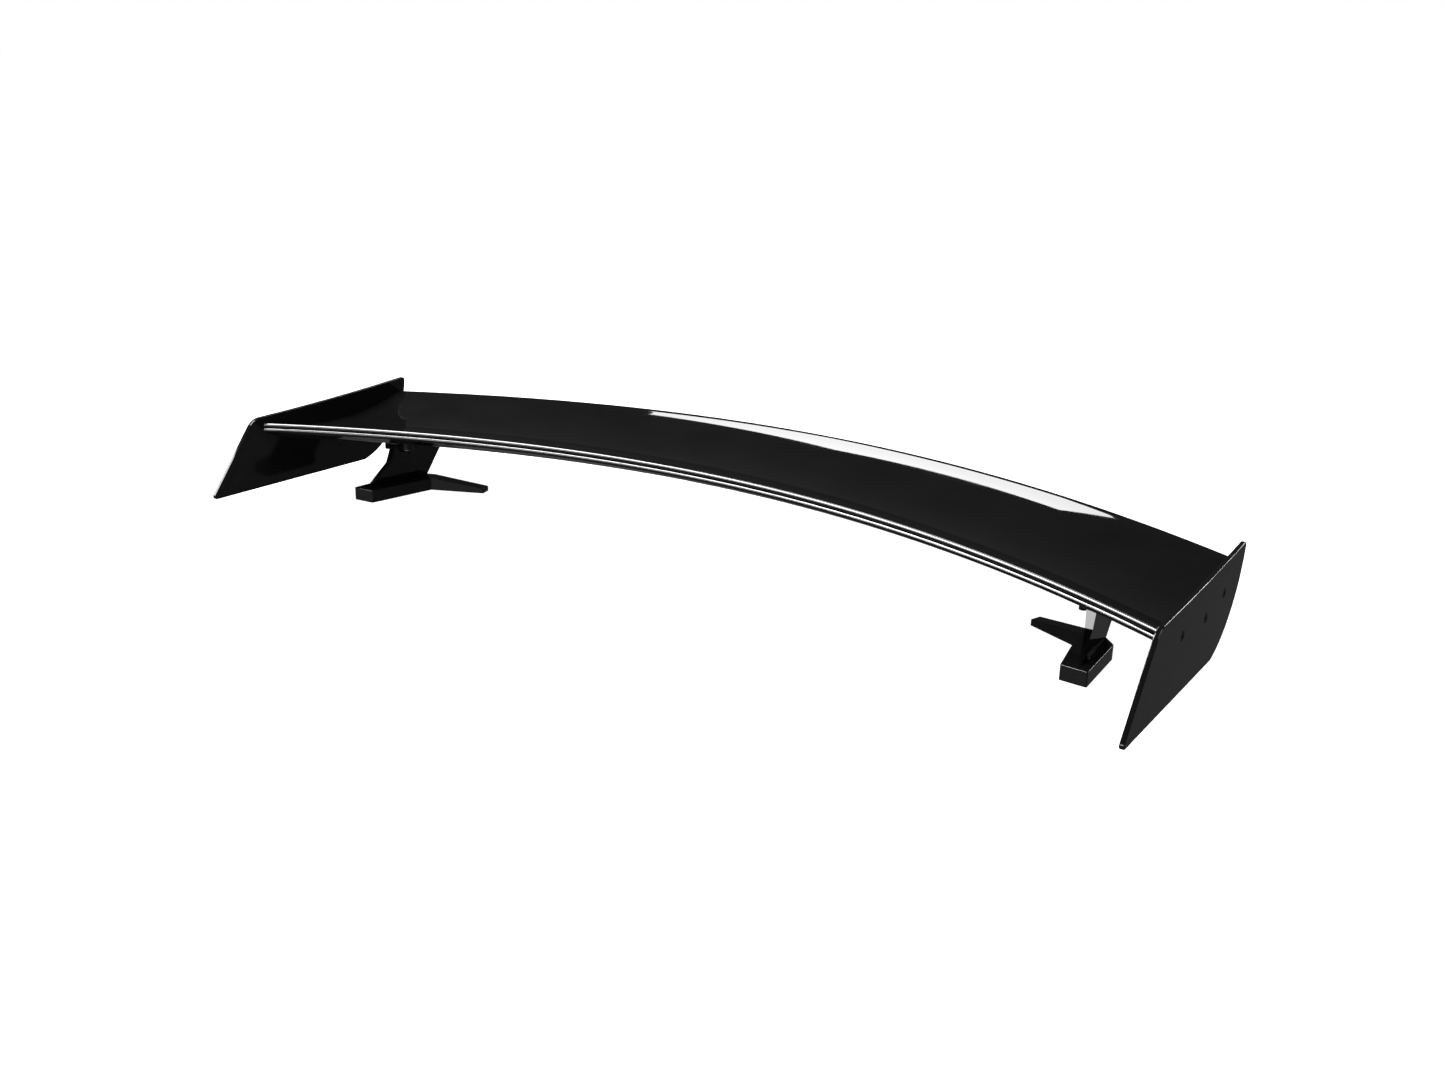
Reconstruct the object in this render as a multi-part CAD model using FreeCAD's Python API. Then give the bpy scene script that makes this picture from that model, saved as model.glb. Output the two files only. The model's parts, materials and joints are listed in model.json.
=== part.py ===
import FreeCAD, Part
import math
import os
from FreeCAD import Vector

# A rear wing for a saloon's boot lid: a swept blade between two endplates, on two uprights
# that stand on L-shaped feet. Millimetres. X runs along the span, Y rearwards, Z up.
# The origin is the centre of the four screws that hold the two feet down, at the lid.
# Every piece with a twin is drawn on the +X side and mirrored.

# Overall layout
span = 1400.0                 # over the outer faces of the endplates
nose_sweep = 188.0            # how far the middle of the blade lies behind its ends
nose_rise = 6.0               # how far the middle of the blade lies above its ends
nose_middle_y = 47.0          # front of the blade at mid-span
nose_middle_z = 119.5         # parting line of the nose at mid-span

# Blade section
chord = 290.0
camber = 28.5                 # depth of the hollow in the mean line
tail_rise = 9.5               # trailing edge above the nose
section_depth = 23.0          # greatest thickness
section_depth_at = 110.0      # distance of the greatest thickness from the nose
tail_thickness = 3.0
bead_radius = 3.6             # rolled lip of each skin at the nose
lip_length = 12.0             # solid part of each lip, behind the nose
groove_depth = 2.4            # between the two lips
bottom_lip_lead = 0.8         # the lower lip stands this far ahead of the upper
skin = 2.5
tail_flange = 18.0            # width over which the skins are bonded at the tail
bond_line = 0.2

# Endplates
plate_thickness = 6.0
plate_base_z = 22.0
plate_toe_y = -241.0
plate_heel_y = 66.0
plate_shoulder_y = -157.0
plate_shoulder_z = 131.0
plate_peak_y = 163.0
plate_peak_z = 146.0
plate_rear_bulge = 26.0
plate_top_sag = 2.5
plate_toe_radius = 4.5
plate_shoulder_radius = 28.0
plate_peak_radius = 5.0
plate_heel_radius = 14.0
plate_rim_radius = 1.0

# Feet
foot_hole_spacing_y = 60.0
foot_hole_x = 573.0
foot_front_y = -50.0
foot_front_inner_x = 559.5
foot_front_outer_x = 594.5
foot_rear_outer_x = 589.0
foot_rear_outer_y = 50.0
arm_rear_start_x = 566.0
arm_rear_start_y = 76.0
arm_end_rear_x = 469.0
arm_end_rear_y = 116.0
arm_end_front_x = 464.0
arm_end_front_y = 97.0
foot_inner_corner_x = 541.0
foot_inner_corner_y = 60.0
foot_height = 19.5
arm_end_height = 8.0
foot_wall = 3.0
foot_corner_radius = 2.0
arm_hole_x = 498.0
arm_hole_y = 92.0
gasket_thickness = 2.0
gasket_clearance = 0.3

# Uprights
upright_inner_x = 561.0
upright_toe_x = 578.0
upright_toe_y = -40.0
upright_outer_front_x = 580.5
upright_outer_rear_x = 572.0
upright_front_y = 7.0         # front edge just under the saddle
upright_front_z = 72.0
upright_knee_y = -1.0         # where the front edge turns further forwards
upright_knee_z = 52.0
upright_heel_y = 72.0
upright_rear_lean = 80.0      # the rear edge goes back this far on its way up to the blade
facet_knee_x = 567.8          # inner end of the knee, where the slanted facet leaves the front
facet_rear_y = 58.0
flare_width = 4.0
flare_height = 9.0

# Saddle between an upright and the blade
saddle_thickness = 9.0
saddle_outer_x = 581.0
saddle_inner_x = 560.0
saddle_front_y = 2.0
saddle_rear_y = 128.0
lug_radius = 9.0
lug_x = 554.5
lug_front_y = 24.0
lug_rear_y = 96.0
pad_thickness = 2.0

# Inner structure of the blade
end_rib_thickness = 22.0
middle_rib_thickness = 4.0
middle_rib_pitch = 190.0
middle_rib_count = 5
rib_window_margin = 7.0
block_margin = 11.0           # the mount block reaches this far past the screw centres

# Screws, washers and inserts
front_plate_screw_from_nose = 63.0
middle_plate_screw_from_nose = 152.0
rear_insert_room = 1.13       # between a skin and the insert of the rear plate screw
screw_radius = 3.0            # M6
screw_hole_radius = 3.3
csk_head_radius = 6.0
csk_head_depth = 3.3
screw_rim = 0.4               # straight edge of a flush screw's head
countersink_clearance = 0.15
flush_screw_sunk = 0.1
socket_across_flats = 4.0
plate_screw_length = 22.0
insert_radius = 4.0
insert_length = 13.0
insert_setback = 4.0          # from the blade's underside to a mount insert, clear of the skin
mount_insert_room = 1.42      # between a mount insert and the upper skin
thread_clearance = 0.05
saddle_screw_length = 22.0
saddle_head_radius = 5.0
saddle_head_height = 6.0
washer_radius = 6.0
washer_thickness = 1.6
spot_face_depth = 1.0
boss_radius = 7.0
foot_insert_length = 10.0
arm_insert_length = 5.0
foot_screw_radius = 2.5       # M5
foot_screw_hole_radius = 2.75
foot_screw_head_radius = 5.0
foot_screw_head_depth = 2.8
foot_screw_engagement = 14.0
upright_insert_radius = 3.5
upright_insert_length = 12.0
foot_screw_y = (44.0, 60.0)
foot_screw_x = 567.5

half_blade = span / 2 - plate_thickness
foot_hole_y = foot_hole_spacing_y / 2


def nose_point(x):
    """Front of the blade on the parting line, at a place along the span."""
    share = (x / (span / 2)) ** 2
    return Vector(x, nose_middle_y - nose_sweep * share, nose_middle_z - nose_rise * share)


def mean_line(c):
    """Height of the section's mean line at a distance c behind the nose."""
    t = c / chord
    return -camber * 4 * t * (1 - t) + tail_rise * t


def half_depth(c):
    """Half of the section's thickness at a distance c behind the nose."""
    nose_half = 2 * bead_radius
    full_half = section_depth / 2
    if c < section_depth_at:
        return nose_half + (full_half - nose_half) * math.sin(math.pi / 2 * c / section_depth_at)
    u = (c - section_depth_at) / (chord - section_depth_at)
    tail_half = tail_thickness / 2
    return tail_half + (full_half - tail_half) * (1 - u * u)


def surface_point(side, c, depth=0.0):
    """Point of the upper (side 1) or lower (side -1) surface, or so deep below it, as (c, h)."""
    return (c, mean_line(c) + side * (half_depth(c) - depth))


def spread(start, end, count):
    """Evenly spaced values from start to end, both included."""
    return [start + (end - start) * i / (count - 1) for i in range(count)]


def outer_points(side):
    """Outside of a skin: round its nose lip, then back to the tail."""
    lead = bottom_lip_lead if side < 0 else 0.0
    groove = (groove_depth - lead, side * bond_line / 2)
    lip = []
    for angle in (200, 165, 130, 95):
        a = math.radians(angle)
        along = bead_radius - lead + bead_radius * math.cos(a)
        lip.append((along, side * (bead_radius + bead_radius * math.sin(a))))
    back = [surface_point(side, c) for c in spread(24.0, chord, 8)]
    return [groove] + lip + back


def cavity_points(side, gap):
    """Inside of a skin, or the outside of a rib that lies a gap inside it."""
    front = lip_length + gap
    rear = chord - tail_flange - gap
    return [surface_point(side, c, skin + gap) for c in spread(front, rear, 7)]


def skin_section(side, x):
    """Closed section of one skin at a place along the span."""
    seam = side * bond_line / 2
    outside = outer_points(side)
    inside = cavity_points(side, 0.0)
    front = inside[0][0]
    rear = inside[-1][0]
    tail = (chord, mean_line(chord) + seam)
    tail_step = (rear, mean_line(rear) + seam)
    nose_step = (front, mean_line(front) + seam)
    edges = [
        spline(outside, x),
        line(outside[-1], tail, x),
        line(tail, tail_step, x),
        line(tail_step, inside[-1], x),
        spline(inside[::-1], x),
        line(inside[0], nose_step, x),
        line(nose_step, outside[0], x),
    ]
    return Part.Wire(edges)


def cavity_section(x):
    """Closed section of the space between the skins, less the bond line."""
    top = cavity_points(1, bond_line)
    bottom = cavity_points(-1, bond_line)
    edges = [
        spline(top, x),
        line(top[-1], bottom[-1], x),
        spline(bottom[::-1], x),
        line(bottom[0], top[0], x),
    ]
    return Part.Wire(edges)


def above_blade_section(x):
    """Section of all that lies above the underside of the blade."""
    under = outer_points(-1)
    roof = 2 * section_depth
    front_top = (under[0][0], roof)
    rear_top = (under[-1][0], roof)
    edges = [
        spline(under, x),
        line(under[-1], rear_top, x),
        line(rear_top, front_top, x),
        line(front_top, under[0], x),
    ]
    return Part.Wire(edges)


def place(point, x):
    """Put a section point (c, h) into space at a place along the span."""
    nose = nose_point(x)
    return Vector(x, nose.y + point[0], nose.z + point[1])


def spline(points, x):
    curve = Part.BSplineCurve()
    curve.interpolate([place(p, x) for p in points])
    return curve.toShape()


def line(a, b, x):
    return Part.makeLine(place(a, x), place(b, x))


def along_span(section):
    """Solid through a section at both ends and the middle: it follows the blade's sweep."""
    wires = [section(x) for x in (-half_blade, 0.0, half_blade)]
    return Part.makeLoft(wires, True, False)


def slab(x_low, x_high):
    """Everything near the wing between two planes across the span."""
    reach = span
    return Part.makeBox(x_high - x_low, 2 * reach, 2 * reach, Vector(x_low, -reach, -reach))


def prism_x(points, x_low, x_high):
    """Solid between two planes across the span, with a (y, z) outline."""
    corners = [Vector(x_low, y, z) for y, z in points]
    face = Part.Face(Part.makePolygon(corners + corners[:1]))
    return face.extrude(Vector(x_high - x_low, 0, 0))


def prism_z(points, z_low, z_high):
    """Upright solid with an (x, y) outline."""
    corners = [Vector(x, y, z_low) for x, y in points]
    face = Part.Face(Part.makePolygon(corners + corners[:1]))
    return face.extrude(Vector(0, 0, z_high - z_low))


def cylinder(radius, length, base, direction):
    return Part.makeCylinder(radius, length, base, direction)


def mirrored(shape):
    return shape.mirror(Vector(0, 0, 0), Vector(1, 0, 0))


def both_sides(shapes):
    """Right-hand shapes and their left-hand twins, as one group of solids."""
    return Part.makeCompound(list(shapes) + [mirrored(s) for s in shapes])


def fillet_near(shape, radius, test):
    """Round the edges whose middle passes a test."""
    edges = [e for e in shape.Edges if test(e)]
    return shape.makeFillet(radius, edges)


def edge_at(y, z, tolerance=0.01):
    """Test for an edge that runs across the span through (y, z)."""
    def test(edge):
        ends = [v.Point for v in edge.Vertexes]
        if len(ends) != 2 or abs(ends[0].x - ends[1].x) < 1.0:
            return False
        return all(abs(p.y - y) < tolerance and abs(p.z - z) < tolerance for p in ends)
    return test


def hex_socket(tip, direction, depth):
    """Hexagonal recess that runs from a screw head's top along a direction."""
    across_corners = socket_across_flats / math.cos(math.pi / 6)
    side = direction.cross(Vector(0, 1, 0))
    up = direction.cross(side)
    corners = []
    for i in range(6):
        a = math.pi / 3 * i
        corners.append(tip + (side * math.cos(a) + up * math.sin(a)) * (across_corners / 2))
    face = Part.Face(Part.makePolygon(corners + corners[:1]))
    return face.extrude(direction * depth)


def countersunk_screw(tip, direction, length, shank, head, head_depth):
    """Flush screw: tip is the middle of the head's face, direction points down the thread."""
    rim = screw_rim
    body = cylinder(shank, length, tip, direction)
    cone = Part.makeCone(head, shank, head_depth - rim, tip + direction * rim, direction)
    face = cylinder(head, rim, tip, direction)
    screw = body.fuse(cone).fuse(face).removeSplitter()
    return screw.cut(hex_socket(tip, direction, head_depth * 0.7))


def countersink(tip, direction, length, hole, head, head_depth):
    """Space that a flush screw needs in the piece that its head lies in."""
    rim = screw_rim
    gap = countersink_clearance
    bore = cylinder(hole, length, tip, direction)
    cone = Part.makeCone(head + gap, hole, head_depth - rim + gap, tip + direction * rim, direction)
    mouth = cylinder(head + gap, rim, tip, direction)
    return bore.fuse(cone).fuse(mouth)


def threaded_insert(mouth, direction, length):
    """Brass bush with a bore for the screw; mouth is the middle of its open face."""
    bush = cylinder(insert_radius, length, mouth, direction)
    return bush.cut(cylinder(screw_radius + thread_clearance, length, mouth, direction))


# Blade

def rear_plate_screw_from_nose():
    """Distance behind the nose where the tapering section just holds the rear insert."""
    tail_half = tail_thickness / 2
    needed = skin + insert_radius + rear_insert_room
    share = (needed - tail_half) / (section_depth / 2 - tail_half)
    return section_depth_at + (chord - section_depth_at) * math.sqrt(1 - share)


def plate_screw_places():
    """Where the endplate screws enter the outer face of the right endplate."""
    nose = nose_point(half_blade - insert_length / 2)
    from_nose = (front_plate_screw_from_nose, middle_plate_screw_from_nose,
                 rear_plate_screw_from_nose())
    return [Vector(span / 2, nose.y + c, nose.z + mean_line(c)) for c in from_nose]


def saddle_screw_places():
    """Plan places of the two screws between a saddle and the blade."""
    return [(lug_x, lug_front_y), (lug_x, lug_rear_y)]


def underside_z(x, y):
    """Height of the blade's underside over a place in plan."""
    nose = nose_point(x)
    return nose.z + surface_point(-1, y - nose.y)[1]


def mount_insert_length():
    """Length of a mount insert: what the blade's depth over the rear lug leaves for it."""
    depth = 2 * half_depth(lug_rear_y - nose_point(lug_x).y)
    return depth - skin - insert_setback - mount_insert_room


def blade_mount_block(cavity):
    """Solid block between the skins that takes the two saddle screws."""
    x_low = lug_x - block_margin
    x_high = saddle_outer_x
    y_low = lug_front_y - block_margin
    y_high = lug_rear_y + block_margin
    box = Part.makeBox(x_high - x_low, y_high - y_low, span, Vector(x_low, y_low, 0))
    block = cavity.common(box)
    for x, y in saddle_screw_places():
        block = block.cut(cylinder(insert_radius, insert_setback + mount_insert_length(),
                                   Vector(x, y, underside_z(x, y)), Vector(0, 0, 1)))
        block = block.cut(cylinder(screw_hole_radius, saddle_screw_length,
                                   Vector(x, y, underside_z(x, y)), Vector(0, 0, 1)))
    return block


def saddle_inserts():
    up = Vector(0, 0, 1)
    inserts = []
    for x, y in saddle_screw_places():
        mouth = Vector(x, y, underside_z(x, y) + insert_setback)
        inserts.append(threaded_insert(mouth, up, mount_insert_length()))
    return inserts


def end_rib(cavity):
    """Thick rib at the blade's end that takes the endplate screws."""
    rib = cavity.common(slab(half_blade - end_rib_thickness, half_blade - bond_line))
    inwards = Vector(-1, 0, 0)
    insert_end = plate_thickness + bond_line + insert_length
    for place_out in plate_screw_places():
        rib = rib.cut(cylinder(insert_radius, insert_end, place_out, inwards))
        rib = rib.cut(cylinder(screw_hole_radius, plate_screw_length + 2.0, place_out, inwards))
    return rib


def plate_inserts():
    inwards = Vector(-1, 0, 0)
    inserts = []
    for place_out in plate_screw_places():
        mouth = place_out + inwards * (plate_thickness + bond_line)
        inserts.append(threaded_insert(mouth, inwards, insert_length))
    return inserts


def middle_rib(cavity, x):
    """Thin rib with two windows that keeps the skins apart."""
    rib = cavity.common(slab(x - middle_rib_thickness / 2, x + middle_rib_thickness / 2))
    nose = nose_point(x)
    for c in (section_depth_at * 0.6, section_depth_at * 1.35):
        radius = half_depth(c) - skin - rib_window_margin / 2
        centre = Vector(x - middle_rib_thickness, nose.y + c, nose.z + mean_line(c))
        rib = rib.cut(cylinder(radius, 2 * middle_rib_thickness, centre, Vector(1, 0, 0)))
    return rib


# Endplates

def endplate():
    toe = (plate_toe_y, plate_base_z)
    heel = (plate_heel_y, plate_base_z)
    shoulder = (plate_shoulder_y, plate_shoulder_z)
    peak = (plate_peak_y, plate_peak_z)
    inner_x = span / 2 - plate_thickness

    def at(point):
        return Vector(inner_x, point[0], point[1])

    def arc(a, b, bulge):
        middle = ((a[0] + b[0]) / 2, (a[1] + b[1]) / 2)
        length = math.hypot(b[0] - a[0], b[1] - a[1])
        off = (middle[0] + (b[1] - a[1]) / length * bulge, middle[1] - (b[0] - a[0]) / length * bulge)
        return Part.Arc(at(a), at(off), at(b)).toShape()

    outline = Part.Wire([
        Part.makeLine(at(toe), at(heel)),
        arc(heel, peak, plate_rear_bulge),
        arc(peak, shoulder, -plate_top_sag),
        Part.makeLine(at(shoulder), at(toe)),
    ])
    plate = Part.Face(outline).extrude(Vector(plate_thickness, 0, 0))
    corners = ((toe, plate_toe_radius), (heel, plate_heel_radius),
               (shoulder, plate_shoulder_radius), (peak, plate_peak_radius))
    for corner, radius in corners:
        plate = fillet_near(plate, radius, edge_at(*corner))
    rim = [e for e in plate.Edges if all(abs(v.X - span / 2) < 0.01 for v in e.Vertexes)]
    plate = plate.makeFillet(plate_rim_radius, rim)
    for place_out in plate_screw_places():
        plate = plate.cut(countersink(place_out, Vector(-1, 0, 0), plate_thickness + 1.0,
                                      screw_hole_radius, csk_head_radius, csk_head_depth))
    return plate


def plate_screws():
    inwards = Vector(-1, 0, 0)
    return [countersunk_screw(p + inwards * flush_screw_sunk, inwards, plate_screw_length,
                              screw_radius, csk_head_radius, csk_head_depth)
            for p in plate_screw_places()]


# Feet

def foot_outline():
    return [
        (foot_front_inner_x, foot_front_y),
        (foot_front_outer_x, foot_front_y - 3.0),
        (foot_rear_outer_x, foot_rear_outer_y),
        (arm_rear_start_x, arm_rear_start_y),
        (arm_end_rear_x, arm_end_rear_y),
        (arm_end_front_x, arm_end_front_y),
        (foot_inner_corner_x, foot_inner_corner_y),
    ]


def foot_block(inset, drop):
    """Foot shape, drawn in by an inset, with its top lowered by a drop."""
    corners = [Vector(x, y, 0) for x, y in foot_outline()]
    wire = Part.makePolygon(corners + corners[:1])
    if inset:
        wire = wire.makeOffset2D(-inset)
    block = Part.Face(wire).extrude(Vector(0, 0, foot_height - drop))
    return block.cut(arm_slope(drop))


def arm_slope(drop):
    """All that lies above the arm's sloping top, lowered by a drop."""
    root = Vector(foot_inner_corner_x, foot_inner_corner_y, 0)
    end = Vector(arm_end_front_x, arm_end_front_y, 0)
    along = end - root
    length = along.Length
    along.normalize()
    across = Vector(-along.y, along.x, 0)
    reach = 4 * foot_height
    past = 1.5 * length
    slope = (foot_height - arm_end_height) / length
    start = root - across * reach

    def at(distance, z):
        return start + along * distance + Vector(0, 0, z)

    corners = [at(0, foot_height - drop), at(past, foot_height - drop - slope * past),
               at(past, reach), at(0, reach)]
    face = Part.Face(Part.makePolygon(corners + corners[:1]))
    return face.extrude(across * 2 * reach)


def foot_fixings():
    """Places of the three threaded inserts in the underside of a foot, with their lengths."""
    return [
        (foot_hole_x, -foot_hole_y, foot_insert_length),
        (foot_hole_x, foot_hole_y, foot_insert_length),
        (arm_hole_x, arm_hole_y, arm_insert_length),
    ]


def foot():
    up = Vector(0, 0, 1)
    block = foot_block(0.0, 0.0)
    block = fillet_near(block, foot_corner_radius, is_vertical)
    shell = block.cut(foot_block(foot_wall, foot_wall))
    for x, y, length in foot_fixings():
        boss = cylinder(boss_radius, foot_height, Vector(x, y, 0), up)
        shell = shell.fuse(boss.common(block))
    for seat in foot_screw_seats():
        boss = cylinder(boss_radius, foot_height, seat, up)
        shell = shell.fuse(boss.common(block))
    for x, y, length in foot_fixings():
        shell = shell.cut(cylinder(insert_radius, length, Vector(x, y, 0), up))
    for seat in foot_screw_seats():
        shell = shell.cut(countersink(seat, up, foot_height, foot_screw_hole_radius,
                                      foot_screw_head_radius, foot_screw_head_depth))
    return shell.removeSplitter()


def is_vertical(edge):
    ends = [v.Point for v in edge.Vertexes]
    return len(ends) == 2 and (ends[0] - ends[1]).cross(Vector(0, 0, 1)).Length < 0.001


def foot_inserts():
    up = Vector(0, 0, 1)
    return [threaded_insert(Vector(x, y, 0), up, length) for x, y, length in foot_fixings()]


def foot_screw_seats():
    """Middle of each foot screw's head, in the floor of the foot's screw boss."""
    return [Vector(foot_screw_x, y, gasket_thickness) for y in foot_screw_y]


def foot_screws():
    """Flush screws that point up through the foot into the upright."""
    up = Vector(0, 0, 1)
    length = foot_height - gasket_thickness + foot_screw_engagement
    return [countersunk_screw(seat, up, length, foot_screw_radius, foot_screw_head_radius,
                              foot_screw_head_depth) for seat in foot_screw_seats()]


def foot_gasket():
    """Rubber sheet that closes the hollow underside of the foot, level with its rim."""
    up = Vector(0, 0, 1)
    hollow = foot_block(foot_wall + gasket_clearance, foot_wall)
    sheet = hollow.common(Part.makeBox(span, span, gasket_thickness, Vector(0, -span / 2, 0)))
    for x, y, length in foot_fixings():
        sheet = sheet.cut(cylinder(boss_radius + gasket_clearance, gasket_thickness, Vector(x, y, 0), up))
    return sheet


# Uprights

def upright(above_blade):
    """Swept plate from the foot to the blade, with a saddle at its top."""
    top_z = nose_middle_z
    rear_top_y = upright_heel_y + upright_rear_lean
    side_view = [
        (upright_toe_y, foot_height),
        (upright_heel_y, foot_height),
        (rear_top_y, top_z),
        (upright_front_y, top_z),
        (upright_front_y, upright_front_z),
        (upright_knee_y, upright_knee_z),
    ]
    plate = prism_x(side_view, upright_inner_x, upright_outer_front_x + flare_width)
    outer_cut = prism_z([
        (upright_outer_front_x, upright_toe_y - 1.0),
        (upright_outer_rear_x, upright_heel_y),
        (upright_outer_rear_x, rear_top_y + 1.0),
        (foot_front_outer_x, rear_top_y + 1.0),
        (foot_front_outer_x, upright_toe_y - 1.0),
    ], 0.0, top_z + 1.0)
    plate = plate.cut(outer_cut).fuse(flare())
    plate = plate.cut(inner_facet())
    up = Vector(0, 0, 1)
    for seat in foot_screw_seats():
        base = Vector(seat.x, seat.y, foot_height)
        plate = plate.cut(cylinder(upright_insert_radius, upright_insert_length, base, up))
        plate = plate.cut(cylinder(foot_screw_hole_radius, foot_screw_engagement + 1.0, base, up))
    return plate.fuse(saddle(above_blade)).cut(lowered(above_blade, pad_thickness)).removeSplitter()


def upright_inserts():
    """Brass bushes in the upright's base, one over each foot screw."""
    up = Vector(0, 0, 1)
    inserts = []
    for seat in foot_screw_seats():
        base = Vector(seat.x, seat.y, foot_height)
        bush = cylinder(upright_insert_radius, upright_insert_length, base, up)
        bore = cylinder(foot_screw_radius + thread_clearance, upright_insert_length, base, up)
        inserts.append(bush.cut(bore))
    return inserts


def flare():
    """Thin wedge along the outer base of the upright."""
    corners = [
        Vector(upright_outer_front_x - flare_width, upright_toe_y, foot_height),
        Vector(upright_outer_front_x + flare_width * 0.4, upright_toe_y + 20.0, foot_height),
        Vector(upright_outer_rear_x, upright_heel_y, foot_height),
        Vector(upright_outer_front_x - flare_width, upright_toe_y + 30.0, foot_height + flare_height),
    ]
    return tetrahedron(corners)


def tetrahedron(corners):
    faces = []
    for skip in range(4):
        three = [c for i, c in enumerate(corners) if i != skip]
        faces.append(Part.Face(Part.makePolygon(three + three[:1])))
    return Part.makeSolid(Part.makeShell(faces))


def inner_facet():
    """What the slanted facet on the inner face takes off, towards the toe."""
    knee = Vector(facet_knee_x, upright_knee_y, upright_knee_z)
    toe = Vector(upright_toe_x, upright_toe_y, foot_height)
    rear = Vector(upright_inner_x, facet_rear_y, foot_height)
    normal = (toe - knee).cross(rear - knee)
    normal.normalize()
    if normal.x > 0:
        normal = normal * -1
    big = 4 * foot_height
    middle = (knee + toe + rear) * (1 / 3)
    face = Part.makePlane(6 * big, 6 * big)
    face.Placement = FreeCAD.Placement(middle, FreeCAD.Rotation(Vector(0, 0, 1), normal))
    face.translate(middle - face.CenterOfMass)
    return face.extrude(normal * big)


def saddle_outline():
    """Plan of the saddle: a strip along the upright with a rounded lug at each screw."""
    length = saddle_rear_y - saddle_front_y
    strip = Part.makeBox(saddle_outer_x - saddle_inner_x, length, span,
                         Vector(saddle_inner_x, saddle_front_y, 0))
    for x, y in saddle_screw_places():
        lug = cylinder(lug_radius, span, Vector(x, y, 0), Vector(0, 0, 1))
        neck = Part.makeBox(saddle_outer_x - x, 2 * lug_radius, span, Vector(x, y - lug_radius, 0))
        strip = strip.fuse(lug).fuse(neck)
    return strip.removeSplitter()


def saddle(above_blade):
    body = saddle_outline().common(lowered(above_blade, pad_thickness + saddle_thickness))
    for x, y in saddle_screw_places():
        under = saddle_face_z(x, y)
        body = body.cut(cylinder(washer_radius + 0.5, spot_face_depth + saddle_thickness,
                                 Vector(x, y, under - saddle_thickness), Vector(0, 0, 1)))
        body = body.cut(cylinder(screw_hole_radius, span, Vector(x, y, 0), Vector(0, 0, 1)))
    return body


def saddle_face_z(x, y):
    """Height of the flat spot face that a saddle screw's washer lies against."""
    return underside_z(x, y) - pad_thickness - saddle_thickness + spot_face_depth


def lowered(shape, distance):
    copy = shape.copy()
    copy.translate(Vector(0, 0, -distance))
    return copy


def saddle_washers():
    up = Vector(0, 0, 1)
    washers = []
    for x, y in saddle_screw_places():
        base = Vector(x, y, saddle_face_z(x, y) - washer_thickness)
        ring = cylinder(washer_radius, washer_thickness, base, up)
        washers.append(ring.cut(cylinder(screw_hole_radius, washer_thickness, base, up)))
    return washers


def saddle_screws():
    """Cap screws that point up through the saddle's lugs into the blade."""
    up = Vector(0, 0, 1)
    screws = []
    for x, y in saddle_screw_places():
        seat = Vector(x, y, saddle_face_z(x, y) - washer_thickness)
        base = seat - up * saddle_head_height
        head = cylinder(saddle_head_radius, saddle_head_height, base, up)
        screw = head.fuse(cylinder(screw_radius, saddle_screw_length, seat, up)).removeSplitter()
        screws.append(screw.cut(hex_socket(base, up, saddle_head_height / 2)))
    return screws


def saddle_pad(above_blade):
    """Soft pad between a saddle and the blade."""
    sheet = saddle_outline().common(lowered(above_blade, pad_thickness))
    sheet = sheet.cut(lowered(above_blade, bond_line))
    for x, y in saddle_screw_places():
        sheet = sheet.cut(cylinder(screw_hole_radius, span, Vector(x, y, 0), Vector(0, 0, 1)))
    return sheet


def main():
    os.makedirs("parts", exist_ok=True)
    top = along_span(lambda x: skin_section(1, x))
    bottom = along_span(lambda x: skin_section(-1, x))
    cavity = along_span(cavity_section)
    above_blade = along_span(above_blade_section)
    for x, y in saddle_screw_places():
        hole = cylinder(screw_hole_radius, 3 * skin,
                        Vector(x, y, underside_z(x, y) - skin), Vector(0, 0, 1))
        bottom = bottom.cut(hole).cut(mirrored(hole))
    nodes = {"blade_upper_skin": top, "blade_lower_skin": bottom}
    for i in range(middle_rib_count):
        x = (i - (middle_rib_count - 1) / 2) * middle_rib_pitch
        nodes["middle_rib_" + str(i + 1)] = middle_rib(cavity, x)
    sided = {
        "end_rib": end_rib(cavity),
        "mount_block": blade_mount_block(cavity),
        "endplate": endplate(),
        "upright": upright(above_blade),
        "saddle_pad": saddle_pad(above_blade),
        "foot": foot(),
        "foot_gasket": foot_gasket(),
    }
    for name, shape in sided.items():
        nodes[name + "_right"] = shape
        nodes[name + "_left"] = mirrored(shape)
    nodes["endplate_screws"] = both_sides(plate_screws())
    nodes["end_rib_inserts"] = both_sides(plate_inserts())
    nodes["saddle_screws"] = both_sides(saddle_screws())
    nodes["saddle_washers"] = both_sides(saddle_washers())
    nodes["mount_block_inserts"] = both_sides(saddle_inserts())
    nodes["foot_screws"] = both_sides(foot_screws())
    nodes["upright_inserts"] = both_sides(upright_inserts())
    nodes["foot_inserts"] = both_sides(foot_inserts())
    for name, shape in nodes.items():
        shape.exportStep("parts/" + name + ".step")


main()
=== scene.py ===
import json
import math

import bmesh
import bpy
from mathutils import Matrix, Vector


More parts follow.
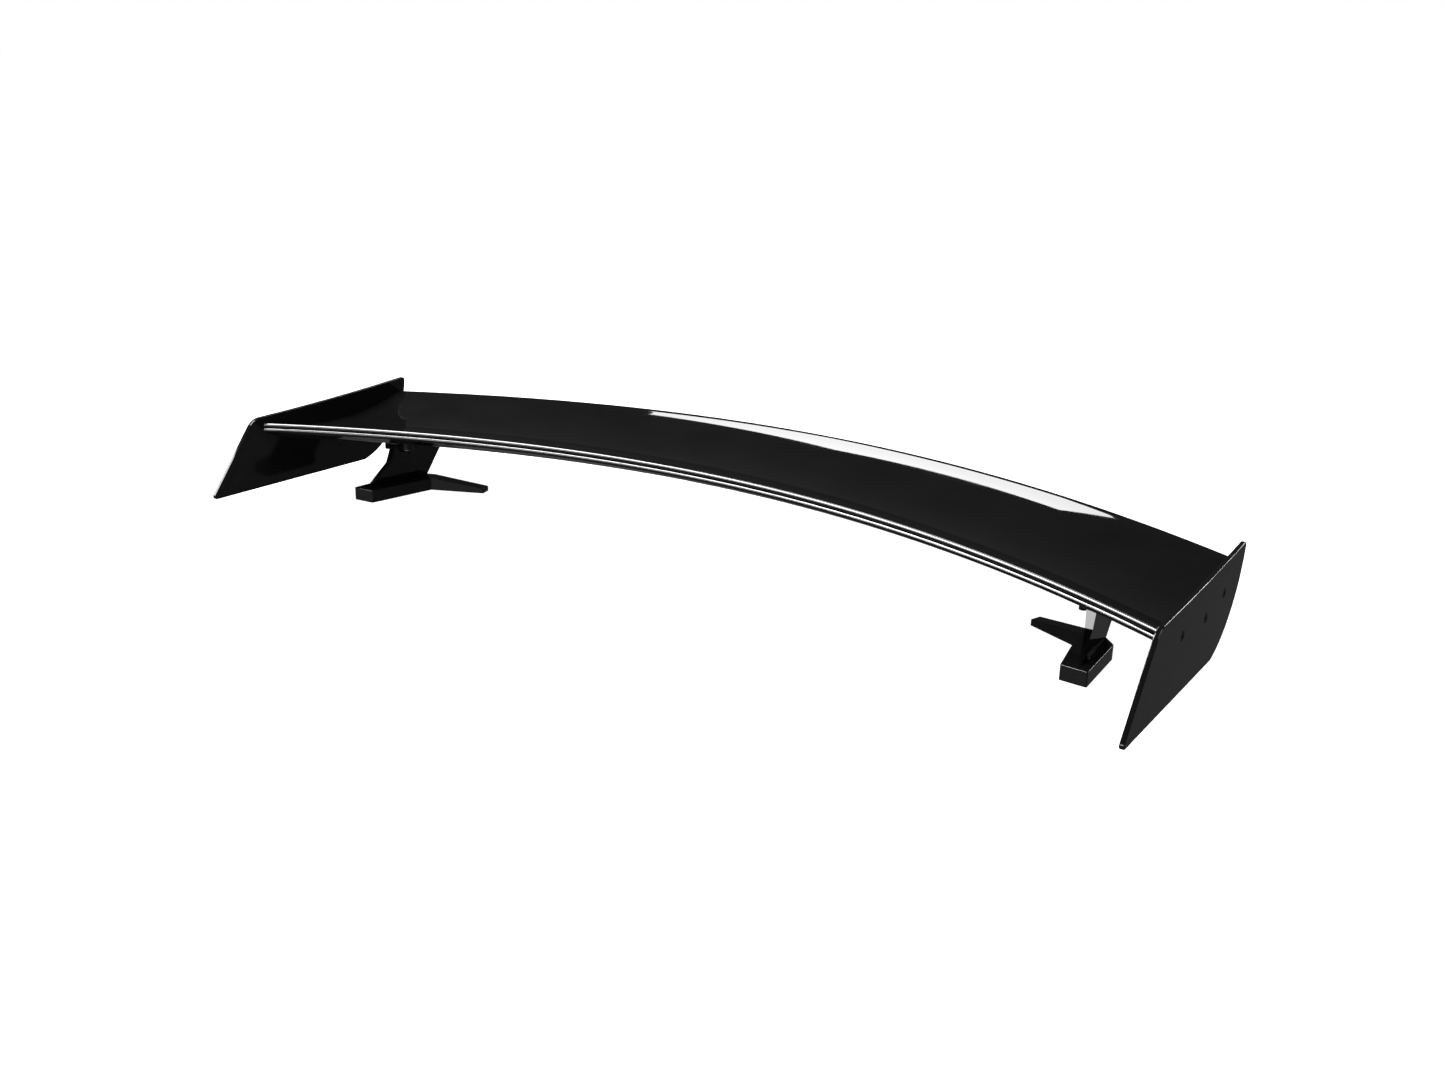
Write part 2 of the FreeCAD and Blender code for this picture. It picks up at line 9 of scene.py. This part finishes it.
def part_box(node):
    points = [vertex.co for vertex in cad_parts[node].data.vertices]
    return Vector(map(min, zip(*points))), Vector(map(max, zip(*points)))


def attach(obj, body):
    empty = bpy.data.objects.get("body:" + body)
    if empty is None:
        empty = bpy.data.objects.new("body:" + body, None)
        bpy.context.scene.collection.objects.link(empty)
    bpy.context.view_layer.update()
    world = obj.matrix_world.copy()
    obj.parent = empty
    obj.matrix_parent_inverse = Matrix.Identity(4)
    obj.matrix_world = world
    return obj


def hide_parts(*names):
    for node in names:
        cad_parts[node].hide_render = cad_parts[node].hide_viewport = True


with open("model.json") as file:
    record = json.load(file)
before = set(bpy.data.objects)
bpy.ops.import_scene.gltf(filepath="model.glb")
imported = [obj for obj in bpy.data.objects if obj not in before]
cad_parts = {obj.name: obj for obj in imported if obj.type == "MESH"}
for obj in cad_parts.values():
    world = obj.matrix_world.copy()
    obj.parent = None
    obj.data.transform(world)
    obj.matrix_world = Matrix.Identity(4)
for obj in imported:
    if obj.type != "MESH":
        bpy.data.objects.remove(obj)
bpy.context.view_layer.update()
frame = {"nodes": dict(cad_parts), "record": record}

# The looks of a gloss black rear wing. Metres, in the frame of the CAD model:
# X along the span, Y to the rear, Z up.

MM = 0.001


# Camera

CAMERA_PLACE = Vector((1.1046, -1.6359, 0.6906))
CAMERA_AZIMUTH = math.radians(32.69)     # from straight ahead of the wing, towards +X
CAMERA_ELEVATION = math.radians(18.2)
CAMERA_ROLL = math.radians(2.0)
FRAME_WIDTH = 1445
FOCAL_PIXELS = 1508.95
SENSOR_WIDTH = 36.0
NEAREST_SEEN = 0.05
FARTHEST_SEEN = 200.0


def add_camera():
    data = bpy.data.cameras.new("camera")
    data.sensor_fit = "HORIZONTAL"
    data.sensor_width = SENSOR_WIDTH
    data.lens = SENSOR_WIDTH * FOCAL_PIXELS / FRAME_WIDTH
    data.clip_start = NEAREST_SEEN
    data.clip_end = FARTHEST_SEEN
    camera = bpy.data.objects.new("camera", data)
    bpy.context.scene.collection.objects.link(camera)
    forward = Vector((-math.sin(CAMERA_AZIMUTH) * math.cos(CAMERA_ELEVATION),
                      math.cos(CAMERA_AZIMUTH) * math.cos(CAMERA_ELEVATION),
                      -math.sin(CAMERA_ELEVATION)))
    level_right = forward.cross(Vector((0, 0, 1))).normalized()
    level_up = level_right.cross(forward)
    right = math.cos(CAMERA_ROLL) * level_right + math.sin(CAMERA_ROLL) * level_up
    up = right.cross(forward)
    axes = Matrix((right, up, -forward)).transposed()
    camera.matrix_world = Matrix.Translation(CAMERA_PLACE) @ axes.to_4x4()
    bpy.context.scene.camera = camera


# Shader nodes

def new_material(name):
    material = bpy.data.materials.new(name)
    material.use_nodes = True
    tree = material.node_tree
    shader = tree.nodes["Principled BSDF"]
    return material, tree, shader


def place_in_metres(tree, stretch):
    """The surface's own place in metres, stretched for a texture with a direction."""
    place = tree.nodes.new("ShaderNodeTexCoord")
    mapping = tree.nodes.new("ShaderNodeMapping")
    mapping.inputs["Scale"].default_value = stretch
    tree.links.new(place.outputs["Object"], mapping.inputs["Vector"])
    return mapping.outputs["Vector"]


def noise(tree, scale, detail=3.0, roughness=0.55, stretch=(1.0, 1.0, 1.0)):
    texture = tree.nodes.new("ShaderNodeTexNoise")
    texture.inputs["Scale"].default_value = scale
    texture.inputs["Detail"].default_value = detail
    texture.inputs["Roughness"].default_value = roughness
    tree.links.new(place_in_metres(tree, stretch), texture.inputs["Vector"])
    return texture.outputs["Fac"]


def spread(tree, value, low, high, from_low=0.3, from_high=0.7):
    """Maps from_low..from_high onto low..high. The defaults suit a noise texture."""
    node = tree.nodes.new("ShaderNodeMapRange")
    node.inputs["From Min"].default_value = from_low
    node.inputs["From Max"].default_value = from_high
    node.inputs["To Min"].default_value = low
    node.inputs["To Max"].default_value = high
    tree.links.new(value, node.inputs["Value"])
    return node.outputs["Result"]


def arithmetic(tree, operation, a, b):
    node = tree.nodes.new("ShaderNodeMath")
    node.operation = operation
    for socket, value in zip(node.inputs, (a, b)):
        if isinstance(value, float):
            socket.default_value = value
        else:
            tree.links.new(value, socket)
    return node.outputs["Value"]


def blend_colours(tree, share, first, second):
    node = tree.nodes.new("ShaderNodeMix")
    node.data_type = "RGBA"
    node.inputs["A"].default_value = (*first, 1.0)
    node.inputs["B"].default_value = (*second, 1.0)
    tree.links.new(share, node.inputs["Factor"])
    return node.outputs["Result"]


def bump(tree, shader, height, strength, distance):
    node = tree.nodes.new("ShaderNodeBump")
    node.inputs["Strength"].default_value = strength
    node.inputs["Distance"].default_value = distance
    tree.links.new(height, node.inputs["Height"])
    tree.links.new(node.outputs["Normal"], shader.inputs["Normal"])


# Materials

SWIRL_STRETCH = (0.05, 1.0, 1.0)     # swirl marks run along the span
SWIRL_SHARE = 0.6                    # of the step from smooth to hazy


def gloss_black(name, deep, light, smooth, hazy):
    """Painted and polished ABS: near-black, with faint haze, swirl marks and orange peel."""
    material, tree, shader = new_material(name)
    tone = spread(tree, noise(tree, scale=9.0, detail=4.0), 0.0, 1.0)
    tree.links.new(blend_colours(tree, tone, deep, light), shader.inputs["Base Color"])
    haze = spread(tree, noise(tree, scale=14.0, detail=5.0), smooth, hazy)
    swirls = noise(tree, scale=900.0, detail=2.0, stretch=SWIRL_STRETCH)
    swirl_depth = spread(tree, swirls, 0.0, (hazy - smooth) * SWIRL_SHARE,
                         from_low=0.55, from_high=0.75)
    tree.links.new(arithmetic(tree, "ADD", haze, swirl_depth), shader.inputs["Roughness"])
    shader.inputs["IOR"].default_value = 1.5
    orange_peel = noise(tree, scale=180.0, detail=1.5)
    bump(tree, shader, orange_peel, strength=0.12, distance=0.02 * MM)
    return material


def grained(name, dark, light, smooth, rough, scales, strength, depth,
            metallic=0.0, specular=0.5):
    """Unpainted surface: mottled colour, uneven roughness and a fine grain, at three scales."""
    material, tree, shader = new_material(name)
    mottle_scale, haze_scale, grain_scale = scales
    mottle = spread(tree, noise(tree, mottle_scale, detail=4.0), 0.0, 1.0)
    tree.links.new(blend_colours(tree, mottle, dark, light), shader.inputs["Base Color"])
    haze = spread(tree, noise(tree, haze_scale), smooth, rough)
    tree.links.new(haze, shader.inputs["Roughness"])
    shader.inputs["Metallic"].default_value = metallic
    shader.inputs["Specular IOR Level"].default_value = specular
    bump(tree, shader, noise(tree, grain_scale, detail=2.0), strength, depth)
    return material


MATERIALS = {
    "blade_plastic": gloss_black(
        "blade_gloss", deep=(0.0011, 0.0011, 0.0012), light=(0.0018, 0.0018, 0.0019),
        smooth=0.02, hazy=0.035),
    "plate_plastic": gloss_black(
        "plate_gloss", deep=(0.0012, 0.0013, 0.0013), light=(0.002, 0.0022, 0.0021),
        smooth=0.02, hazy=0.05),
    "stand_plastic": gloss_black(
        "stand_gloss", deep=(0.0012, 0.0012, 0.0014), light=(0.0022, 0.0022, 0.0024),
        smooth=0.03, hazy=0.06),
    "inner_plastic": grained(
        "inner_moulding", dark=(0.018, 0.018, 0.02), light=(0.035, 0.035, 0.037),
        smooth=0.45, rough=0.65, scales=(40.0, 600.0, 1800.0), strength=0.3, depth=0.1 * MM),
    "rubber": grained(
        "black_rubber", dark=(0.012, 0.012, 0.013), light=(0.028, 0.028, 0.029),
        smooth=0.6, rough=0.85, scales=(120.0, 900.0, 2500.0), strength=0.4, depth=0.1 * MM),
    "brass": grained(
        "insert_brass", dark=(0.62, 0.45, 0.18), light=(0.75, 0.58, 0.27),
        smooth=0.25, rough=0.4, scales=(300.0, 700.0, 3000.0), strength=0.2, depth=0.05 * MM,
        metallic=1.0),
    "black_steel": grained(
        "black_oxide_steel", dark=(0.0015, 0.0015, 0.0018), light=(0.005, 0.005, 0.0055),
        smooth=0.5, rough=0.7, scales=(400.0, 900.0, 2500.0), strength=0.3, depth=0.05 * MM,
        specular=0.08),
    "washer_steel": grained(
        "plain_steel", dark=(0.36, 0.36, 0.37), light=(0.5, 0.5, 0.51),
        smooth=0.2, rough=0.4, scales=(300.0, 700.0, 3000.0), strength=0.2, depth=0.05 * MM,
        metallic=1.0),
}


def paint_nodes():
    """Each CAD node takes the finish of its material slot."""
    for part in frame["record"]["subparts"]:
        for slot in frame["nodes"][part["node"]].material_slots:
            slot.material = MATERIALS[part["material_slot"]]


# Finished pieces in place of CAD nodes

SMOOTH_ANGLE = math.radians(32)
FACET_ANGLE = math.radians(6)        # an upright's flat facets meet at small angles
FLAT_ANGLE = math.radians(0.5)       # faces closer than this are one face
WELD_DISTANCE = 0.002 * MM


def object_from(mesh, name, slot, sharp_angle=SMOOTH_ANGLE):
    """Turns a bmesh into a piece that rides on the wing, smooth but for its sharp edges."""
    data = bpy.data.meshes.new(name)
    mesh.to_mesh(data)
    mesh.free()
    piece = bpy.data.objects.new(name, data)
    bpy.context.scene.collection.objects.link(piece)
    data.shade_smooth()
    data.set_sharp_from_angle(angle=sharp_angle)
    data.materials.append(MATERIALS[slot])
    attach(piece, "root")
    return piece


def softened(node, slot, radius, chosen, segments=3, sharp_angle=SMOOTH_ANGLE):
    """A CAD piece with the chosen convex edges rounded off."""
    mesh = bmesh.new()
    mesh.from_mesh(frame["nodes"][node].data)
    bmesh.ops.remove_doubles(mesh, verts=mesh.verts, dist=WELD_DISTANCE)
    bmesh.ops.dissolve_limit(mesh, angle_limit=FLAT_ANGLE, verts=mesh.verts, edges=mesh.edges)
    mesh.normal_update()
    edges = [e for e in mesh.edges if len(e.link_faces) == 2 and e.is_convex
             and e.calc_face_angle() > SMOOTH_ANGLE and chosen(e)]
    bmesh.ops.bevel(mesh, geom=edges, offset=radius, segments=segments, profile=0.5,
                    affect="EDGES", clamp_overlap=True)
    piece = object_from(mesh, node + "_finished", slot, sharp_angle)
    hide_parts(node)
    normals = piece.modifiers.new("even_faces", "WEIGHTED_NORMAL")
    normals.keep_sharp = True


# Blade's upper skin. A section is drawn in (c, height): c runs back from the nose.

HALF_SPAN = 700.0 * MM               # to the outer face of an endplate
HALF_BLADE = 694.0 * MM
NOSE_SWEEP = 188.0 * MM
NOSE_RISE = 6.0 * MM
NOSE_MIDDLE_Y = 47.0 * MM
NOSE_MIDDLE_Z = 119.5 * MM
CHORD = 290.0 * MM
CAMBER = 28.5 * MM
TAIL_RISE = 9.5 * MM
SECTION_DEPTH = 23.0 * MM
DEPTH_AT = 110.0 * MM
TAIL_THICKNESS = 3.0 * MM
BEAD_RADIUS = 3.6 * MM
LIP_LENGTH = 12.0 * MM
GROOVE_DEPTH = 2.4 * MM
SKIN = 2.5 * MM
TAIL_FLANGE = 18.0 * MM
HALF_BOND = 0.1 * MM
LIP_FROM = 202                       # degrees round the lip's bead, from its lower end
LIP_STEP = 6
LIP_POINTS = 19
LIP_RUN_OUT = 24.0 * MM              # c where the lip has become the section's top
RUN_OUT_STEPS = 14
TAIL_EDGE_DEPTH = 1.35 * MM          # the rounded tail edge drops this far
TAIL_EDGE_LENGTH = 9.5 * MM
TAIL_EDGE_STEPS = 9
TOP_STEPS = 80
INSIDE_STEPS = 40
SPAN_STEPS = 280
SLOPE_STEP = 1.0 * MM


def mean_line(c):
    t = c / CHORD
    return -CAMBER * 4 * t * (1 - t) + TAIL_RISE * t


def half_depth(c):
    nose_half = 2 * BEAD_RADIUS
    full_half = SECTION_DEPTH / 2
    if c < DEPTH_AT:
        return nose_half + (full_half - nose_half) * math.sin(math.pi / 2 * c / DEPTH_AT)
    u = (c - DEPTH_AT) / (CHORD - DEPTH_AT)
    tail_half = TAIL_THICKNESS / 2
    return tail_half + (full_half - tail_half) * (1 - u * u)


def top_height(c):
    return mean_line(c) + half_depth(c)


def evenly(start, end, steps):
    return [start + (end - start) * i / steps for i in range(steps + 1)]


def hermite(start, leave, end, arrive, steps):
    """Smooth run between two points and their tangents, without the two points."""
    points = []
    for i in range(1, steps):
        t = i / steps
        points.append(start * ((1 + 2 * t) * (1 - t) ** 2) + end * (t * t * (3 - 2 * t))
                      + leave * (t * (1 - t) ** 2) + arrive * (t * t * (t - 1)))
    return points


def lip_points():
    """Round the bead along the nose, from the groove up to the top."""
    points = []
    for i in range(LIP_POINTS):
        angle = math.radians(LIP_FROM - LIP_STEP * i)
        points.append(Vector((BEAD_RADIUS + BEAD_RADIUS * math.cos(angle),
                              BEAD_RADIUS + BEAD_RADIUS * math.sin(angle))))
    return points


def run_out_points(lip):
    """From the end of the lip to where it has become the section's top."""
    end = Vector((LIP_RUN_OUT, top_height(LIP_RUN_OUT)))
    rise = top_height(LIP_RUN_OUT + SLOPE_STEP) - top_height(LIP_RUN_OUT - SLOPE_STEP)
    length = LIP_RUN_OUT - lip[-1].x
    leave = (lip[-1] - lip[-2]).normalized() * length
    arrive = Vector((length, length * (rise / (2 * SLOPE_STEP))))
    return hermite(lip[-1], leave, end, arrive, RUN_OUT_STEPS)


def tail_edge_points(c):
    """Quarter of an ellipse that rounds off the top's rear edge, tilted with the top."""
    start = Vector((c, top_height(c)))
    slope = (top_height(c) - top_height(c - SLOPE_STEP)) / SLOPE_STEP
    points = []
    for i in range(1, TAIL_EDGE_STEPS + 1):
        angle = math.pi / 2 * (1 - i / TAIL_EDGE_STEPS)
        out = TAIL_EDGE_LENGTH * math.cos(angle)
        drop = TAIL_EDGE_DEPTH * (1 - math.sin(angle))
        points.append(start + Vector((out, slope * out - drop)))
    return points


def upper_skin_section():
    """Closed loop: groove, lip, top, rounded tail edge, seam and the hollow inside."""
    tail = CHORD - TAIL_EDGE_LENGTH
    rear = CHORD - TAIL_FLANGE
    groove = Vector((GROOVE_DEPTH, HALF_BOND))
    lip = lip_points()
    run_out = run_out_points(lip)
    top = [Vector((c, top_height(c))) for c in evenly(LIP_RUN_OUT, tail, TOP_STEPS)]
    tail_edge = tail_edge_points(tail)
    seam = [Vector((c, mean_line(c) + HALF_BOND)) for c in (CHORD, rear)]
    inside = [Vector((c, top_height(c) - SKIN)) for c in evenly(rear, LIP_LENGTH, INSIDE_STEPS)]
    nose_seam = Vector((LIP_LENGTH, mean_line(LIP_LENGTH) + HALF_BOND))
    return [groove] + lip + run_out + top + tail_edge + seam + inside + [nose_seam]


def add_upper_skin():
    """The upper skin as one even mesh, with a softly rounded tail edge."""
    section = upper_skin_section()
    mesh = bmesh.new()
    rings = []
    for i in range(SPAN_STEPS + 1):
        x = HALF_BLADE * (2 * i / SPAN_STEPS - 1)
        share = (x / HALF_SPAN) ** 2
        y = NOSE_MIDDLE_Y - NOSE_SWEEP * share
        z = NOSE_MIDDLE_Z - NOSE_RISE * share
        rings.append([mesh.verts.new((x, y + c, z + h)) for c, h in section])
    for ring, after in zip(rings, rings[1:]):
        for i in range(len(section)):
            j = (i + 1) % len(section)
            mesh.faces.new((ring[i], ring[j], after[j], after[i]))
    mesh.faces.new(rings[0][::-1])
    mesh.faces.new(rings[-1])
    bmesh.ops.recalc_face_normals(mesh, faces=mesh.faces)
    piece = object_from(mesh, "upper_skin", "blade_plastic")
    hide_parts("blade_upper_skin")


# Softened edges of the feet, endplates and uprights

FOOT_SCREWS = ((567.5 * MM, 44.0 * MM), (567.5 * MM, 60.0 * MM))
BORE_REACH = 6.0 * MM                # edges nearer a foot screw's axis belong to its bore
ARM_LEVEL = 7.0 * MM                 # under the lowest point of a foot's top
PLATE_SCREWS_LOW, PLATE_SCREWS_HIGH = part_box("endplate_screws")
FOOT_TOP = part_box("foot_right")[1].z
CLOSE = 0.1 * MM
SHORTEST_UPRIGHT_EDGE = 8.0 * MM
UPWARD = 0.8                         # a top face's normal has more than this along Z
SIDEWAYS = 0.3                       # a side's normal has less than this along Z, or X
FOOT_ROUNDING = 1.3 * MM
PLATE_ROUNDING = 0.9 * MM
UPRIGHT_ROUNDING = 0.5 * MM


def middle(edge):
    return (edge.verts[0].co + edge.verts[1].co) / 2


def on_foot_rim(edge):
    """The edge between a foot's top and its sides, but not round its screw bores."""
    place = middle(edge)
    clear = all(math.hypot(abs(place.x) - x, place.y - y) > BORE_REACH for x, y in FOOT_SCREWS)
    level = min(v.co.z for v in edge.verts) > ARM_LEVEL
    meets_top = any(f.normal.z > UPWARD for f in edge.link_faces)
    meets_side = any(abs(f.normal.z) < SIDEWAYS for f in edge.link_faces)
    return clear and level and meets_top and meets_side


def near_plate_screw(place):
    low, high = PLATE_SCREWS_LOW, PLATE_SCREWS_HIGH
    return low.y < place.y < high.y and low.z < place.z < high.z


def on_plate_inner_rim(edge):
    """The edge round an endplate's face towards the blade, but not by its screws."""
    inner = all(abs(abs(v.co.x) - HALF_BLADE) < CLOSE for v in edge.verts)
    meets_side = any(abs(f.normal.x) < SIDEWAYS for f in edge.link_faces)
    return inner and meets_side and not near_plate_screw(middle(edge))


def on_upright(edge):
    """Long edges of an upright, from the top of its foot up."""
    above_foot = min(v.co.z for v in edge.verts) > FOOT_TOP - CLOSE
    return edge.calc_length() > SHORTEST_UPRIGHT_EDGE and above_foot


def add_softened_pieces():
    for side in ("right", "left"):
        softened("foot_" + side, "stand_plastic", FOOT_ROUNDING, on_foot_rim)
        softened("endplate_" + side, "plate_plastic", PLATE_ROUNDING, on_plate_inner_rim)
        softened("upright_" + side, "stand_plastic", UPRIGHT_ROUNDING, on_upright,
                 segments=2, sharp_angle=FACET_ANGLE)


# Studio

PALE = (0.98, 0.98, 0.98)
STAGE_GLOW = 1.02
FLOOR_ALBEDO = 0.2
FLOOR_RADIUS = 40.0
BACKDROP_RADIUS = 39.0


def stage_material(name, glow, albedo):
    material, _, shader = new_material(name)
    shader.inputs["Base Color"].default_value = (albedo, albedo, albedo, 1.0)
    shader.inputs["Roughness"].default_value = 1.0
    shader.inputs["Specular IOR Level"].default_value = 0.0
    shader.inputs["Emission Color"].default_value = (*PALE, 1.0)
    shader.inputs["Emission Strength"].default_value = glow
    return material


def add_stage():
    """A pale floor with a pale backdrop round it. Neither shows in the gloss."""
    bpy.ops.mesh.primitive_circle_add(vertices=64, radius=FLOOR_RADIUS, fill_type="NGON")
    floor = bpy.context.object
    floor.name = "floor"
    floor.data.materials.append(stage_material("pale_floor", STAGE_GLOW, FLOOR_ALBEDO))
    bpy.ops.mesh.primitive_uv_sphere_add(segments=64, ring_count=32, radius=BACKDROP_RADIUS)
    backdrop = bpy.context.object
    backdrop.name = "backdrop"
    backdrop.data.materials.append(stage_material("pale_backdrop", STAGE_GLOW, 0.0))
    for piece in (floor, backdrop):
        piece.visible_glossy = False
    backdrop.visible_diffuse = False
    backdrop.visible_shadow = False


ROOM_LIGHT = 0.035
FLOOR_BEHIND = 0.085
FLOOR_IN_FRONT = 0.34
FRONT_FALL_OFF = 1.6


def add_world():
    """What the gloss reflects: a dark room, and below it a floor that is lit in front."""
    world = bpy.data.worlds.new("studio")
    bpy.context.scene.world = world
    world.use_nodes = True
    tree = world.node_tree
    direction = tree.nodes.new("ShaderNodeTexCoord")
    split = tree.nodes.new("ShaderNodeSeparateXYZ")
    tree.links.new(direction.outputs["Generated"], split.inputs["Vector"])
    forward = arithmetic(tree, "MULTIPLY", split.outputs["Y"], -1.0)
    frontness = spread(tree, forward, 0.0, 1.0, from_low=0.35, from_high=0.95)
    floor_light = spread(tree, arithmetic(tree, "POWER", frontness, FRONT_FALL_OFF),
                         FLOOR_BEHIND, FLOOR_IN_FRONT, from_low=0.0, from_high=1.0)
    downward = arithmetic(tree, "MULTIPLY", split.outputs["Z"], -1.0)
    downness = spread(tree, downward, 0.0, 1.0, from_low=-0.06, from_high=0.16)
    light = tree.nodes.new("ShaderNodeMix")
    light.inputs["A"].default_value = ROOM_LIGHT
    tree.links.new(downness, light.inputs["Factor"])
    tree.links.new(floor_light, light.inputs["B"])
    tree.links.new(light.outputs["Result"], tree.nodes["Background"].inputs["Color"])


# Lights. A direction is (azimuth, elevation) in degrees, and azimuth runs from +Y towards -X.

LIGHT_AIM = Vector((0.0, 0.2, 0.1))


def light_frame(direction, distance):
    """Centre of a light and its axes: leftwards as the wing sees it, upwards and outwards."""
    azimuth, elevation = (math.radians(a) for a in direction)
    outward = Vector((-math.sin(azimuth) * math.cos(elevation),
                      math.cos(azimuth) * math.cos(elevation),
                      math.sin(elevation)))
    across = Vector((0, 0, 1)).cross(outward).normalized()
    upward = outward.cross(across)
    return LIGHT_AIM + outward * distance, across, upward, outward


def softbox(name, direction, distance, width, height, radiance, shift=0.0):
    """A rectangular light, shifted across from its line of aim."""
    centre, across, upward, outward = light_frame(direction, distance)
    data = bpy.data.lights.new(name, "AREA")
    data.shape = "RECTANGLE"
    data.size = width
    data.size_y = height
    data.energy = radiance * math.pi * width * height
    lamp = bpy.data.objects.new(name, data)
    bpy.context.scene.collection.objects.link(lamp)
    lamp.location = centre + across * shift
    lamp.rotation_mode = "QUATERNION"
    lamp.rotation_quaternion = Matrix((across, upward, outward)).transposed().to_quaternion()
    lamp.visible_camera = False


def cut_softbox(name, direction, distance, outline, radiance):
    """A softbox with a cut outline, given across and up from its line of aim."""
    centre, across, upward, outward = light_frame(direction, distance)
    mesh = bmesh.new()
    mesh.faces.new([mesh.verts.new(centre + across * a + upward * b) for a, b in outline])
    data = bpy.data.meshes.new(name)
    mesh.to_mesh(data)
    mesh.free()
    panel = bpy.data.objects.new(name, data)
    bpy.context.scene.collection.objects.link(panel)
    data.materials.append(stage_material(name + "_glow", radiance, 0.0))
    panel.visible_camera = False
    panel.visible_shadow = False


STREAK_OUTLINE = ((-0.71, -0.15), (-0.15, -0.38), (0.42, -0.28), (0.5, 0.6), (-0.62, 0.6))


def add_lights():
    """The first makes the streak on the blade's tail. The others light rims, lips and faces."""
    cut_softbox("back_left", direction=(37.0, 44.0), distance=3.0, outline=STREAK_OUTLINE,
                radiance=9.0)
    softbox("front_strip", direction=(180.0, 70.0), distance=2.5, width=2.6, height=1.5,
            radiance=46.0, shift=-1.42)
    softbox("front_low", direction=(150.0, 20.0), distance=2.7, width=3.0, height=0.7,
            radiance=12.0)
    softbox("back_right_low", direction=(-25.5, 13.0), distance=8.0, width=2.4, height=1.1,
            radiance=16.0)
    softbox("right", direction=(-85.0, 38.0), distance=3.0, width=2.0, height=0.9,
            radiance=6.0)
    softbox("front_wide", direction=(180.0, 34.0), distance=7.0, width=9.0, height=3.0,
            radiance=0.4)


bpy.context.scene.view_settings.view_transform = "Standard"
add_camera()
paint_nodes()
add_upper_skin()
add_softened_pieces()
add_stage()
add_world()
add_lights()
